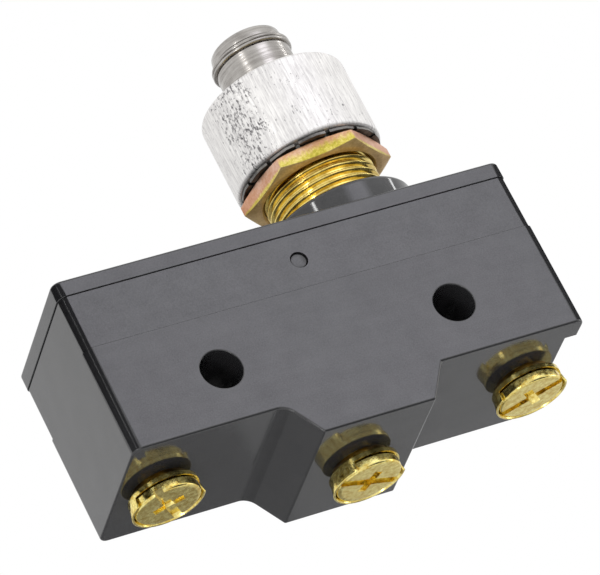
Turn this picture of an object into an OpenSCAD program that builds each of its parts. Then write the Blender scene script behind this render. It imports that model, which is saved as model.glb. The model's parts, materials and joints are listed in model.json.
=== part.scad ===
// Panel-mount plunger limit switch: a snap-action basic switch in a moulded case,
// with a threaded bushing, a spring-loaded plunger and three screw terminals.
// Origin: midway between the two mounting holes, at mid depth.
// X runs along the case, -Y is the front face and +Z points to the plunger.

/* [Case] */
// Length of the case
case_l = 49.2; // [48.8:0.1:50]
// Depth of the case, front to back
case_d = 17.45; // [17.2:0.05:17.8]
// Radius of the case's upright edges
edge_r = 1.0; // [0.5:0.1:1.5]
// Height of the cover's top above the mounting holes
cover_top = 13.8; // [13.6:0.1:14]
// Thickness of the cover's visible rim
cover_t = 1.8; // [1.6:0.1:2]
// Depth of the two end terminal faces below the mounting holes
end_drop = 5.7; // [5.5:0.1:6]
// Depth of the middle terminal face below the mounting holes
mid_drop = 9.4; // [9.2:0.1:9.8]
// Half length of the middle block at its face
mid_half = 6.05; // [5.8:0.05:6.3]
// Half length of the middle block where it meets the end faces
mid_root = 8.5; // [8.3:0.1:8.8]
// Wall of the case along its front and back
wall = 2.3; // [2.2:0.05:2.4]

/* [Mounting holes] */
// Distance between the two mounting holes
hole_pitch = 25.4; // [25.2:0.1:25.6]
// Diameter of each mounting hole
hole_d = 4.2; // [3.8:0.1:4.4]

/* [Plunger and bushing] */
// Distance of the plunger's axis from the middle of the case
axis_x = 10; // [9.6:0.1:10.4]
// Outer diameter of the bushing's thread
thread_d = 11.9; // [11.8:0.05:12]
// Pitch of the bushing's thread
thread_pitch = 0.794; // [0.75:0.001:0.8]
// Height of the bushing's top
bushing_top = 32; // [31.8:0.1:32]
// Diameter of the plunger's neck
neck_d = 8.1; // [8:0.05:8.2]
// Height of the plunger's lip at rest
lip_z = 36.6; // [36.6:0.1:37]
// Height of the plunger's tip at rest
tip_z = 38.95; // [38.8:0.05:39.2]

/* [Nuts] */
// Width across the hex nut's flats
nut_af = 14; // [13.8:0.1:14.3]
// Thickness of the hex nut
nut_t = 1.75; // [1.6:0.05:1.9]
// Height of the hex nut's top face
nut_top = 22.4; // [22.3:0.05:22.5]
// Diameter of the collar nut
collar_d = 15.8; // [15.6:0.1:16]
// Length of the collar nut
collar_l = 9.2; // [9.1:0.1:9.2]

/* [Terminals] */
// Distance of the end terminals from the middle of the case
terminal_x = 20; // [19.8:0.1:20.1]
// Diameter of a terminal screw's head
head_d = 6.9; // [6.7:0.1:6.9]
// Major diameter of a terminal screw's thread
screw_d = 3.5; // [3.4:0.05:3.5]

/* [Hidden] */
$fn = 64;

// Cutting tools run this far past the faces they cut
over = 1;
// Gap left around a piece that is seated in another
seat = 0.03;
// Radial clearance of a piece that slides or turns on another
run = 0.05;
// Thickness of the brass terminal straps
strap_t = 0.8;
// Half width of those straps, and where the two outer ones end
strap_half_w = 3;
strap_end_x = 22;
// Small bevel on the edges of turned pieces
bevel = 0.2;

// Case
seam_z = cover_top - cover_t;
half_l = case_l / 2;
half_d = case_d / 2;
step_z = 6;
step_in = 0.12;
hole_chamfer = 0.15;
foot_r = 1.9;
cavity_l = 44.4;
cavity_half_d = half_d - wall;
floor_z = 3.6;
well_half = 8.9;
well_z = -2;
notch_depth = 1.3;
notch_half = 5.7;
notch_h = 3.5;

// Cover and its lock pins
boss_d = 16;
boss_top = 16.5;
boss_chamfer = 0.3;
plug_depth = 0.8;
plug_gap = 0.15;
pin_z = 9.1;
pin_r = 0.85;
pin_recess = 0.3;
pin_inner = 4.6;
lug_w = 4.4;
lug_inner = 4.3;
lug_low = 7.6;

// Bushing
thread_r = thread_d / 2;
thread_depth = 0.49;
thread_low = boss_top + 0.4;
thread_count = floor((bushing_top - thread_low) / thread_pitch) - 1;
shank_r = 5.4;
flange_r = 6;
flange_low = 10.8;
bushing_floor = 12.4;
spring_room_r = 4.85;
shoulder_z = 24.1;

// Plunger train
neck_r = neck_d / 2;
stem_low = 22.8;
stem_flange_t = 1.2;
stem_bore_r = 2.88;
stem_roof = 34.6;
lip_r = 4.35;
lip_t = 0.8;
cap_spigot_r = 2;
cap_spigot_l = 1.5;
cap_r = 3.95;
tip_r = 3.2;
lip_bevel = 0.12;
retainer_t = 1.1;
rod_r = 1.5;
piston_low = 14.9;
piston_head_z = 24.2;
piston_head_t = 1.2;
piston_head_r = 2.8;

// Snap blade
blade_z = 6.3;
blade_t = 0.3;
blade_w = 7;
blade_pivot_x = -8.3;
blade_end_x = 20.3;
bead_r = 0.3;
contact_x = 18.5;
contact_r = 1.3;
fixed_contact_r = 1.6;
contact_t = 0.5;
contact_shank_r = 0.7;
contact_gap = 0.05;
contact_drop = 0.65;
pin_tip_z = blade_z + blade_t / 2 + 0.08;

// Blade anchor
foot_t = 0.8;
foot_z = floor_z + strap_t;
anchor_w = 8;
rivet_x = -11.7;
rivet_r = 1;
rivet_head_r = 1.6;
rivet_head_t = 0.7;

// Terminals
insert_r = 2.9;
insert_recess = 0.1;
screw_r = screw_d / 2;
screw_pitch = 0.794;
screw_thread_depth = 0.4;
screw_l = 6.3;
screw_hole_l = 7.4;
washer_r = 3.75;
washer_t = 0.5;
washer_h = 1.6;
washer_flare = 0.2;
washer_wall = 0.22;
washer_gap = 0.7;
head_gap = 1.3;
head_t = 1;
slot_w = 0.9;
slot_depth = 0.5;
cross_l = 3.2;
cross_depth = 0.8;
common_strap_x = -6.6;
riser_x0 = 2.8;
riser_x1 = 6.4;
tab_half = 2;
tab_z = blade_z + blade_t / 2 + contact_t + contact_gap + 0.6;
rail_h = 2;

// Colours
phenolic = [0.30, 0.30, 0.31];
brass = [0.80, 0.66, 0.25];
gold_zinc = [0.78, 0.70, 0.36];
steel = [0.66, 0.65, 0.64];
dark_steel = [0.34, 0.34, 0.35];
bright_aluminium = [0.87, 0.86, 0.86];
silver_contact = [0.86, 0.86, 0.84];
spring_bronze = [0.76, 0.54, 0.30];

// A flat outline with four round corners
module rounded_rect(l, d, r) {
    square([l - 2 * r, d], center = true);
    square([l, d - 2 * r], center = true);
    for (x = [-1, 1], y = [-1, 1])
        translate([x * (l / 2 - r), y * (d / 2 - r)]) circle(r);
}

// Turns an outline drawn in X and Z into a slab between two Y values
module slab(y0, y1) {
    translate([0, y1, 0]) rotate([90, 0, 0]) linear_extrude(y1 - y0) children();
}

// A box given by its lowest and highest corners
module box(low, high) {
    translate(low) cube(high - low);
}

// A cylinder between two heights on an upright axis
module post(x, r, z0, z1) {
    translate([x, 0, z0]) cylinder(r = r, h = z1 - z0);
}

// Points of an arc, from angle a0 to a1
function arc_points(x, z, r, a0, a1, n) =
    [for (i = [0:n]) let (a = a0 + (a1 - a0) * i / n) [x + r * cos(a), z + r * sin(a)]];

// Side outline of a run of ring grooves that stands for a thread. Each pair in it is a depth
// and a share of the pitch.
function groove_points(r, depth, z0, pitch, count) =
    [for (i = [0:count - 1], p = [[0, 0.06], [0, 0.3], [depth, 0.5], [depth, 0.6], [0, 0.94]])
        [r - p[0], z0 + (i + p[1]) * pitch]];

// Height of a coil spring's wire after u turns, with closed end turns
function coil_z(u, turns, h, d) =
    let (dead = 1, rise = 1.08 * d)
    d / 2 + (u < dead ? u * rise
        : u > turns - dead ? h - d - (turns - u) * rise
        : dead * rise + (u - dead) / (turns - 2 * dead) * (h - d - 2 * dead * rise));

// A round-wire coil spring that stands on z0
module coil_spring(x, z0, mean_r, d, h, turns) {
    sides = 8;
    per_turn = 24;
    rings = turns * per_turn;
    points = [for (i = [0:rings], j = [0:sides - 1])
        let (u = i / per_turn, a = 360 * u, b = 360 * j / sides, r = mean_r + d / 2 * cos(b))
        [r * cos(a), r * sin(a), coil_z(u, turns, h, d) + d / 2 * sin(b)]];
    skin = [for (i = [0:rings - 1], j = [0:sides - 1], k = [0, 1])
        let (a = i * sides + j, b = i * sides + (j + 1) % sides)
        k == 0 ? [a, b, b + sides] : [a, b + sides, a + sides]];
    start_cap = [for (j = [0:sides - 1]) sides - 1 - j];
    end_cap = [for (j = [0:sides - 1]) rings * sides + j];
    translate([x, 0, z0]) polyhedron(points, concat(skin, [start_cap, end_cap]));
}

// Front outline of the case, with the middle block and a small fillet at its left foot
module case_outline() {
    slope = atan2(mid_drop - end_drop, mid_root - mid_half);
    foot_x = -mid_root - foot_r * tan(slope / 2);
    polygon(concat(
        [[-half_l, seam_z], [-half_l, -end_drop]],
        arc_points(foot_x, -end_drop - foot_r, foot_r, 90, 90 - slope, 6),
        [[-mid_half, -mid_drop], [mid_half, -mid_drop],
            [mid_root, -end_drop], [half_l, -end_drop], [half_l, seam_z]]));
}

module mounting_hole(x) {
    translate([x, 0, 0]) rotate([90, 0, 0]) cylinder(d = hole_d, h = case_d + 2 * over, center = true);
    for (side = [-1, 1])
        translate([x, side * half_d, 0]) rotate([side * 90, 0, 0])
            translate([0, 0, -over])
                cylinder(r1 = hole_d / 2 + hole_chamfer + over, r2 = hole_d / 2, h = hole_chamfer + over);
}

module base_case() {
    color(phenolic) difference() {
        intersection() {
            slab(-half_d, half_d) case_outline();
            union() {
                translate([0, 0, -mid_drop]) linear_extrude(mid_drop + step_z)
                    rounded_rect(case_l, case_d, edge_r);
                translate([0, 0, step_z]) linear_extrude(seam_z - step_z)
                    rounded_rect(case_l - 2 * step_in, case_d - 2 * step_in, edge_r);
            }
        }
        box([-cavity_l / 2, -cavity_half_d, floor_z], [cavity_l / 2, cavity_half_d, seam_z + over]);
        box([-well_half, -cavity_half_d, well_z], [well_half, cavity_half_d, floor_z + over]);
        for (x = [-terminal_x, terminal_x]) post(x, insert_r + seat, -end_drop - over, floor_z + over);
        post(0, insert_r + seat, -mid_drop - over, well_z + over);
        for (x = [-1, 1]) mounting_hole(x * hole_pitch / 2);
        for (side = [-1, 1])
            translate([0, side * half_d, pin_z]) rotate([90, 0, 0])
                cylinder(r = pin_r + seat, h = 2 * wall + over, center = true);
        box([half_l - notch_depth, -notch_half, -end_drop - over],
            [half_l + over, notch_half, -end_drop + notch_h]);
    }
}

module top_cover() {
    plug_l = cavity_l - 2 * plug_gap;
    plug_d = 2 * (cavity_half_d - plug_gap);
    color(phenolic) difference() {
        union() {
            translate([0, 0, seam_z]) linear_extrude(cover_t) rounded_rect(case_l, case_d, edge_r);
            translate([0, 0, seam_z - plug_depth]) linear_extrude(plug_depth + over)
                square([plug_l, plug_d], center = true);
            translate([axis_x, 0, 0]) rotate_extrude()
                polygon([[0, seam_z + over], [boss_d / 2, seam_z + over],
                    [boss_d / 2, boss_top - boss_chamfer], [boss_d / 2 - boss_chamfer, boss_top],
                    [0, boss_top]]);
            for (side = [-1, 1])
                translate([0, side * (lug_inner + plug_d / 2) / 2, 0])
                    box([-lug_w / 2, -(plug_d / 2 - lug_inner) / 2, lug_low],
                        [lug_w / 2, (plug_d / 2 - lug_inner) / 2, seam_z]);
        }
        post(axis_x, shank_r + seat, seam_z - over, boss_top + over);
        post(axis_x, flange_r + seat, seam_z - plug_depth - over, seam_z);
        for (side = [-1, 1])
            translate([0, side * lug_inner, pin_z]) rotate([-side * 90, 0, 0])
                cylinder(r = pin_r + seat, h = half_d - lug_inner);
    }
}

module cover_pins() {
    color(phenolic) for (side = [-1, 1])
        translate([0, side * pin_inner, pin_z]) rotate([-side * 90, 0, 0])
            cylinder(r = pin_r, h = half_d - pin_inner - pin_recess);
}

module threaded_bushing() {
    end_chamfer = thread_depth;
    color(brass) translate([axis_x, 0, 0]) rotate_extrude()
        polygon(concat(
            [[rod_r + run, flange_low], [flange_r, flange_low], [flange_r, seam_z - seat],
                [shank_r, seam_z - seat], [shank_r, thread_low - thread_depth / 2]],
            groove_points(thread_r, thread_depth, thread_low, thread_pitch, thread_count),
            [[thread_r, bushing_top - end_chamfer], [thread_r - end_chamfer, bushing_top],
                [neck_r + run, bushing_top], [neck_r + run, shoulder_z],
                [spring_room_r, shoulder_z], [spring_room_r, bushing_floor],
                [rod_r + run, bushing_floor]]));
}

// A round terminal insert with a blind hole for its screw, from the face up to top_z
module terminal_insert(x, face_z, top_z) {
    difference() {
        post(x, insert_r, face_z + insert_recess, top_z);
        post(x, screw_r + run, face_z - over, face_z + screw_hole_l - over);
    }
}

module common_terminal() {
    color(brass) difference() {
        union() {
            terminal_insert(-terminal_x, -end_drop, floor_z + strap_t / 2);
            box([-strap_end_x, -strap_half_w, floor_z], [common_strap_x, strap_half_w, foot_z]);
        }
        post(rivet_x, rivet_r + seat, floor_z - over, foot_z + over);
    }
}

module closed_terminal() {
    rail_y1 = cavity_half_d - seat;
    rail_y0 = rail_y1 - strap_t;
    tab_x0 = contact_x - tab_half;
    tab_x1 = contact_x + tab_half;
    color(brass) difference() {
        union() {
            terminal_insert(0, -mid_drop, well_z + strap_t / 2);
            box([-strap_half_w, -strap_half_w, well_z], [riser_x1, rail_y1, well_z + strap_t]);
            box([riser_x0, rail_y0, well_z], [riser_x1, rail_y1, tab_z + rail_h]);
            box([riser_x0, rail_y0, tab_z], [tab_x1, rail_y1, tab_z + rail_h]);
            box([tab_x0, -tab_half, tab_z], [tab_x1, rail_y1, tab_z + strap_t]);
        }
        post(contact_x, contact_shank_r + seat, tab_z - over, tab_z + strap_t + over);
    }
}

module open_terminal() {
    strap_x = contact_x - 2.5;
    hole_floor = floor_z + 0.2;
    color(brass) difference() {
        union() {
            terminal_insert(terminal_x, -end_drop, floor_z + strap_t / 2);
            box([strap_x, -strap_half_w, floor_z], [strap_end_x, strap_half_w, foot_z]);
        }
        post(contact_x, contact_shank_r + seat, hole_floor, foot_z + over);
    }
}

// A contact rivet: a button from z0 to z1 and a shank that reaches tail_z
module contact_rivet(x, r, z0, z1, tail_z) {
    post(x, r, z0, z1);
    post(x, contact_shank_r, min(tail_z, z0), max(tail_z, z1));
}

module closed_contact() {
    button_t = 0.6;
    tail = 0.3;
    color(silver_contact)
        contact_rivet(contact_x, fixed_contact_r, tab_z - button_t, tab_z, tab_z + strap_t + tail);
}

module open_contact() {
    top_z = blade_z - blade_t / 2 - contact_t - contact_drop - contact_gap;
    tail_z = floor_z + 0.25;
    color(silver_contact) contact_rivet(contact_x, fixed_contact_r, foot_z, top_z, tail_z);
}

// A plate with an upright post that holds the blade's bead and a low seat for its tongue
module blade_anchor() {
    plate_x = -13.4;
    plate_half_w = 2.9;
    post_x0 = -9.8;
    post_x1 = -8;
    post_top = blade_z + 1.1;
    seat_x = 0.3;
    seat_l = 1.3;
    seat_half_w = 1.4;
    seat_top = blade_z + 0.5;
    color(brass) difference() {
        union() {
            box([plate_x, -plate_half_w, foot_z], [seat_x, plate_half_w, foot_z + foot_t]);
            box([post_x0, -anchor_w / 2, foot_z], [post_x1, anchor_w / 2, post_top]);
            box([seat_x - seat_l, -seat_half_w, foot_z], [seat_x, seat_half_w, seat_top]);
        }
        translate([blade_pivot_x, 0, blade_z]) rotate([90, 0, 0])
            cylinder(r = bead_r + run, h = anchor_w + 2 * over, center = true);
        box([blade_pivot_x, -anchor_w, blade_z - bead_r - run],
            [post_x1 + over, anchor_w, blade_z + bead_r + run]);
        post(rivet_x, rivet_r + seat, foot_z - over, foot_z + foot_t + over);
    }
}

module anchor_rivet() {
    low_z = floor_z + 0.1;
    top_z = foot_z + foot_t;
    head_bevel = [0.5, 0.4];
    color(brass) {
        post(rivet_x, rivet_r, low_z, top_z);
        translate([rivet_x, 0, top_z]) rotate_extrude()
            polygon([[0, 0], [rivet_head_r, 0], [rivet_head_r, rivet_head_t - head_bevel.y],
                [rivet_head_r - head_bevel.x, rivet_head_t], [0, rivet_head_t]]);
    }
}

module snap_blade() {
    window_x0 = -4.5;
    window_x1 = 7.5;
    window_half_w = 1.9;
    tongue_x0 = 0.65;
    tongue_w = 2.4;
    sag = 0.7;
    nose_x = 14;
    nose_w = 4;
    tongue_end_x = window_x1 + 0.4;
    half_span = (window_x1 - tongue_x0) / 2;
    sag_r = (half_span * half_span + sag * sag) / (2 * sag);
    swing = asin(half_span / sag_r);
    mid_x = (window_x1 + tongue_x0) / 2;
    arc_z = blade_z - sag + sag_r;
    color(spring_bronze) {
        difference() {
            union() {
                box([blade_pivot_x, -blade_w / 2, blade_z - blade_t / 2],
                    [nose_x, blade_w / 2, blade_z + blade_t / 2]);
                box([nose_x, -nose_w / 2, blade_z - blade_t / 2],
                    [blade_end_x, nose_w / 2, blade_z + blade_t / 2]);
            }
            box([window_x0, -window_half_w, blade_z - over], [window_x1, window_half_w, blade_z + over]);
            post(contact_x, contact_shank_r + seat, blade_z - over, blade_z + over);
        }
        translate([blade_pivot_x, 0, blade_z]) rotate([90, 0, 0])
            cylinder(r = bead_r, h = blade_w, center = true);
        slab(-tongue_w / 2, tongue_w / 2)
            polygon(concat(
                arc_points(mid_x, arc_z, sag_r + blade_t / 2, -90 - swing, -90 + swing, 14),
                [[tongue_end_x, blade_z - blade_t / 2], [tongue_end_x, blade_z + blade_t / 2]],
                arc_points(mid_x, arc_z, sag_r - blade_t / 2, -90 + swing, -90 - swing, 14)));
    }
}

module moving_contact() {
    color(silver_contact) {
        post(contact_x, contact_r, blade_z + blade_t / 2, blade_z + blade_t / 2 + contact_t);
        post(contact_x, contact_r, blade_z - blade_t / 2 - contact_t, blade_z - blade_t / 2);
        post(contact_x, contact_shank_r, blade_z - blade_t, blade_z + blade_t);
    }
}

module plunger_stem() {
    flange = spring_room_r - 2 * run;
    socket_r = cap_spigot_r + seat;
    socket_floor = lip_z - cap_spigot_l - 0.1;
    color(steel) translate([axis_x, 0, 0]) rotate_extrude()
        polygon([[stem_bore_r, stem_low], [flange, stem_low], [flange, stem_low + stem_flange_t],
            [neck_r, stem_low + stem_flange_t], [neck_r, lip_z], [socket_r, lip_z],
            [socket_r, socket_floor], [0, socket_floor], [0, stem_roof], [stem_bore_r, stem_roof]]);
}

module plunger_cap() {
    lip_top = lip_z + lip_t;
    groove = 0.22;
    groove_h = 0.15;
    crown = 0.06;
    round_r = 0.56;
    round_x = tip_r + 0.08;
    shoulder = tip_z - crown;
    color(steel) translate([axis_x, 0, 0]) rotate_extrude()
        polygon(concat(
            [[0, lip_z - cap_spigot_l], [cap_spigot_r, lip_z - cap_spigot_l], [cap_spigot_r, lip_z],
                [lip_r - lip_bevel, lip_z], [lip_r, lip_z + lip_bevel], [lip_r, lip_top - lip_bevel],
                [lip_r - lip_bevel, lip_top], [cap_r - groove, lip_top],
                [cap_r - groove, lip_top + groove_h], [cap_r, lip_top + 2 * groove_h]],
            arc_points(round_x, shoulder - round_r, round_r, 0, 84, 5),
            [for (i = [1:5]) let (f = i / 5) [tip_r * (1 - f), shoulder + crown * sin(90 * f)]]));
}

module piston_retainer() {
    color(steel) translate([axis_x, 0, stem_low]) difference() {
        cylinder(r = stem_bore_r - seat, h = retainer_t);
        translate([0, 0, -over]) cylinder(r = rod_r + 2 * run, h = retainer_t + 2 * over);
    }
}

module overtravel_piston() {
    color(steel) translate([axis_x, 0, 0]) rotate_extrude()
        polygon([[0, piston_low], [rod_r - bevel, piston_low], [rod_r, piston_low + bevel],
            [rod_r, piston_head_z], [piston_head_r, piston_head_z],
            [piston_head_r, piston_head_z + piston_head_t], [0, piston_head_z + piston_head_t]]);
}

module pin_plunger() {
    taper = 0.6;
    color(phenolic) translate([axis_x, 0, 0]) rotate_extrude()
        polygon([[0, pin_tip_z], [rod_r - taper, pin_tip_z], [rod_r, pin_tip_z + taper],
            [rod_r, piston_low - bevel], [rod_r - bevel, piston_low], [0, piston_low]]);
}

module return_spring() {
    color(steel)
        coil_spring(axis_x, bushing_floor, mean_r = 3.9, d = 0.7, h = stem_low - bushing_floor, turns = 7);
}

module overtravel_spring() {
    low = piston_head_z + piston_head_t;
    color(steel) coil_spring(axis_x, low, mean_r = 2.2, d = 0.5, h = stem_roof - low, turns = 8);
}

// A thin ring with slanted notches that leave teeth around its rim
module lock_washer() {
    teeth = 14;
    thickness = 0.4;
    outer_r = 7.6;
    root_r = 6.75;
    notch_w = 0.9;
    slant = 8;
    color(dark_steel) translate([axis_x, 0, nut_top + run]) linear_extrude(thickness) difference() {
        circle(r = outer_r);
        circle(r = thread_r + 2 * run);
        for (i = [0:teeth - 1])
            rotate(i * 360 / teeth) translate([root_r, 0])
                rotate(slant) translate([0, -notch_w / 2]) square([2, notch_w]);
    }
}

module hex_nut() {
    corner_r = nut_af / 2 / cos(30);
    rim_r = nut_af / 2 + 0.72;
    full_r = corner_r + 0.05;
    cut = 0.25;
    lead = 0.35;
    nut_turn = -14.3;
    color(gold_zinc) translate([axis_x, 0, nut_top - nut_t]) difference() {
        intersection() {
            rotate(nut_turn) cylinder(r = corner_r, h = nut_t, $fn = 6);
            rotate_extrude()
                polygon([[0, 0], [rim_r, 0], [full_r, cut], [full_r, nut_t - cut],
                    [rim_r, nut_t], [0, nut_t]]);
        }
        translate([0, 0, -over]) cylinder(r = thread_r + run, h = nut_t + 2 * over);
        for (flip = [0, 1])
            translate([0, 0, flip * nut_t]) mirror([0, 0, flip])
                translate([0, 0, -over])
                    cylinder(r1 = thread_r + run + lead + over, r2 = thread_r + run, h = lead + over);
    }
}

module collar_nut() {
    low = nut_top + 0.5;
    edge = 0.35;
    r = collar_d / 2;
    bore = thread_r + run;
    color(bright_aluminium) translate([axis_x, 0, low]) rotate_extrude()
        polygon(concat(
            [[bore + edge, 0]],
            arc_points(r - edge, edge, edge, -90, 0, 6),
            arc_points(r - edge, collar_l - edge, edge, 0, 90, 6),
            [[bore + edge, collar_l], [bore, collar_l - edge], [bore, edge]]));
}

// A pressed cup washer below a terminal's face. Its wall is open on one side, for the wire:
// the gap's middle is at angle side, and it runs half of its width either way.
module cup_washer(x, face_z, side, half) {
    top = face_z - washer_gap;
    seat_z = top - washer_t;
    low_z = top - washer_h;
    rim_r = washer_r + washer_flare;
    edge = 0.1;
    reach = 2 * washer_r;
    color(brass) difference() {
        translate([x, 0, 0]) rotate_extrude()
            polygon([[screw_r + run, top], [washer_r - edge, top], [washer_r, top - edge],
                [washer_r, seat_z], [rim_r, low_z], [rim_r - washer_wall, low_z],
                [washer_r - washer_wall, seat_z], [screw_r + run, seat_z]]);
        translate([x, 0, low_z - over]) rotate(side) linear_extrude(seat_z - low_z + over)
            polygon(concat([[0, 0]],
                [for (a = [-half : half / 2 : half]) [reach * cos(a), reach * sin(a)]]));
    }
}

// A binding-head terminal screw with a slot and a cross recess, turned by angle
module terminal_screw(x, face_z, angle) {
    under = face_z - head_gap;
    face = under - head_t;
    r = head_d / 2;
    core_r = screw_r - screw_thread_depth;
    round_r = 0.35;
    edge = 0.1;
    grooves = 7;
    color(brass) difference() {
        translate([x, 0, 0]) rotate_extrude()
            polygon(concat(
                [[0, face], [r - round_r - edge, face]],
                arc_points(r - round_r, face + round_r + edge / 2, round_r, -70, 0, 5),
                [[r, under - edge], [r - edge, under], [core_r, under]],
                groove_points(screw_r, screw_thread_depth, under + bevel, screw_pitch, grooves),
                [[core_r, under + screw_l], [0, under + screw_l]]));
        translate([x, 0, face]) rotate(angle) {
            translate([-r - over, -slot_w / 2, -over]) cube([2 * (r + over), slot_w, slot_depth + over]);
            for (turn = [0, 90])
                rotate(turn) translate([-cross_l / 2, -slot_w / 2, -over])
                    cube([cross_l, slot_w, cross_depth + over]);
        }
    }
}

module common_washer() { cup_washer(-terminal_x, -end_drop, side = -85, half = 74); }
module closed_washer() { cup_washer(0, -mid_drop, side = -64, half = 60); }
module open_washer() { cup_washer(terminal_x, -end_drop, side = -92, half = 72); }
module common_screw() { terminal_screw(-terminal_x, -end_drop, angle = 60); }
module closed_screw() { terminal_screw(0, -mid_drop, angle = 20); }
module open_screw() { terminal_screw(terminal_x, -end_drop, angle = -33); }

base_case();
top_cover();
cover_pins();
threaded_bushing();
common_terminal();
closed_terminal();
open_terminal();
closed_contact();
open_contact();
blade_anchor();
anchor_rivet();
snap_blade();
moving_contact();
plunger_stem();
plunger_cap();
piston_retainer();
overtravel_piston();
pin_plunger();
return_spring();
overtravel_spring();
lock_washer();
hex_nut();
collar_nut();
common_washer();
common_screw();
closed_washer();
closed_screw();
open_washer();
open_screw();
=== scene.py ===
"""Looks of the panel-mount plunger limit switch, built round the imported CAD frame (metres)."""

import json
import math

import bmesh
import bpy
from mathutils import Matrix, Vector


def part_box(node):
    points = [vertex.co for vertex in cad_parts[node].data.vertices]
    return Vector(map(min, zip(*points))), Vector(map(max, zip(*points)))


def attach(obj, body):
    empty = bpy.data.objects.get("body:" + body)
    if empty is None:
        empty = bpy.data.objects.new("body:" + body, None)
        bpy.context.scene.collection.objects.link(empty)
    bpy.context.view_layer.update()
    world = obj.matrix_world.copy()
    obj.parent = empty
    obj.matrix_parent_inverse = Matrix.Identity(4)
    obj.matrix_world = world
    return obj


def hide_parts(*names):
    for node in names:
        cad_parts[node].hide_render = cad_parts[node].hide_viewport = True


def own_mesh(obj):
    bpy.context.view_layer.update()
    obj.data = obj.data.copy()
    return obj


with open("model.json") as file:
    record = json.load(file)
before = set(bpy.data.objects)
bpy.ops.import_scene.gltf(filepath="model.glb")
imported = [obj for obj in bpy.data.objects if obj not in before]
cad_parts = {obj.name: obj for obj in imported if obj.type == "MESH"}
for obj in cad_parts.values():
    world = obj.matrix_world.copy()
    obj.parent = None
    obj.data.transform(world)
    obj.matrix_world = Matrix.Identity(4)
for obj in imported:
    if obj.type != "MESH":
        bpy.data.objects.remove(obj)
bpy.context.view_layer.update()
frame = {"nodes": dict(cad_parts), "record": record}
NODES = frame["nodes"]
RECORD = frame["record"]

MM = 0.001
TAU = 2 * math.pi


# ---------------------------------------------------------------- sizes from the frame, in millimetres

def low(node):
    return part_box(node)[0] / MM


def high(node):
    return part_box(node)[1] / MM


def centre(node):
    return (low(node) + high(node)) / 2


def span_r(node):
    """Radius of a round upright node, from its depth."""
    return (high(node).y - low(node).y) / 2


AXIS = centre("plunger_stem").xy              # the plunger's axis
CASE_LOW, CASE_HIGH = low("base_case"), high("base_case")
HALF_L, HALF_D = CASE_HIGH.x, CASE_HIGH.y
SEAM, BOSS_TOP = CASE_HIGH.z, high("top_cover").z
MIDDLE_FACE = CASE_LOW.z
COVER_T = 1.8                                 # thickness of the cover's rim
COVER_TOP = SEAM + COVER_T
WASHER_GAP = 0.7                              # from a terminal's face to its washer, as shown
END_FACE = high("common_washer").z + WASHER_GAP
MOUNT = next(m for m in RECORD["mounts"] if m["name"] == "mounting_holes")
HOLE_R = MOUNT["dims"]["hole_r_mm"]
HOLE_X = MOUNT["dims"]["spacing_x_mm"] / 2
BUSHING_TOP = high("threaded_bushing").z
THREAD_R, THREAD_DEPTH, PITCH = 5.95, 0.42, 0.794
NECK_R = 4.05
RUN = 0.05                                    # radial clearance of a piece that slides or turns
# Turn of each screw's slot, and the middle and half width of the gap in its cup washer, in degrees
TERMINALS = {"common": (60, -85, 74), "closed": (20, -64, 60), "open": (-33, -92, 72)}
TERMINAL_X = {name: centre(name + "_screw").x for name in TERMINALS}


# ---------------------------------------------------------------- mesh helpers (sizes in millimetres)

def new_object(name, mesh):
    """Puts a mesh in the scene."""
    obj = bpy.data.objects.new(name, mesh)
    bpy.context.scene.collection.objects.link(obj)
    return obj


def mesh_from(name, points, faces, merge=0.0):
    """A piece from points in millimetres. Points closer than merge become one."""
    mesh = bpy.data.meshes.new(name)
    mesh.from_pydata([tuple(c * MM for c in p) for p in points], [], faces)
    bm = bmesh.new()
    bm.from_mesh(mesh)
    if merge:
        bmesh.ops.remove_doubles(bm, verts=bm.verts, dist=merge * MM)
        bmesh.ops.dissolve_degenerate(bm, edges=bm.edges, dist=merge * MM)
    bmesh.ops.recalc_face_normals(bm, faces=bm.faces)
    bm.to_mesh(mesh)
    bm.free()
    return new_object(name, mesh)


def ring(radius, z, at, segments):
    """Points of a level circle about an upright axis."""
    turns = [TAU * k / segments for k in range(segments)]
    return [(at[0] + radius * math.cos(a), at[1] + radius * math.sin(a), z) for a in turns]


def helix_skin(points, faces, at, z0, z1, crest, depth, segments, pitch=PITCH):
    """Adds the surface of a right-hand thread between two heights, with a chamfered start and end."""
    root, flank, brow = crest - depth, crest - 0.05, crest - 0.01
    # Share of a turn and radius, over one ridge and down to the root
    profile = [(0.0, flank), (0.07, brow), (0.16, crest), (0.25, brow), (0.32, flank),
               (0.56, root), (0.76, root)]
    rows = []
    for turn in range(-1, int((z1 - z0) / pitch) + 2):
        rows += [(turn + share, r) for share, r in profile]
    first = len(points)
    for turn, r in rows:
        for k in range(segments + 1):
            z = min(max(z0 + (turn + k / segments) * pitch, z0), z1)
            reach = min(r, root + (z - z0), root + (z1 - z))
            a = TAU * k / segments
            points.append((at[0] + reach * math.cos(a), at[1] + reach * math.sin(a), z))
    width = segments + 1
    for j in range(len(rows) - 1):
        for k in range(segments):
            a = first + j * width + k
            faces.append([a, a + 1, a + width + 1, a + width])


ON_AXIS = 1e-6
SAME_POINT = 2e-4


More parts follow.
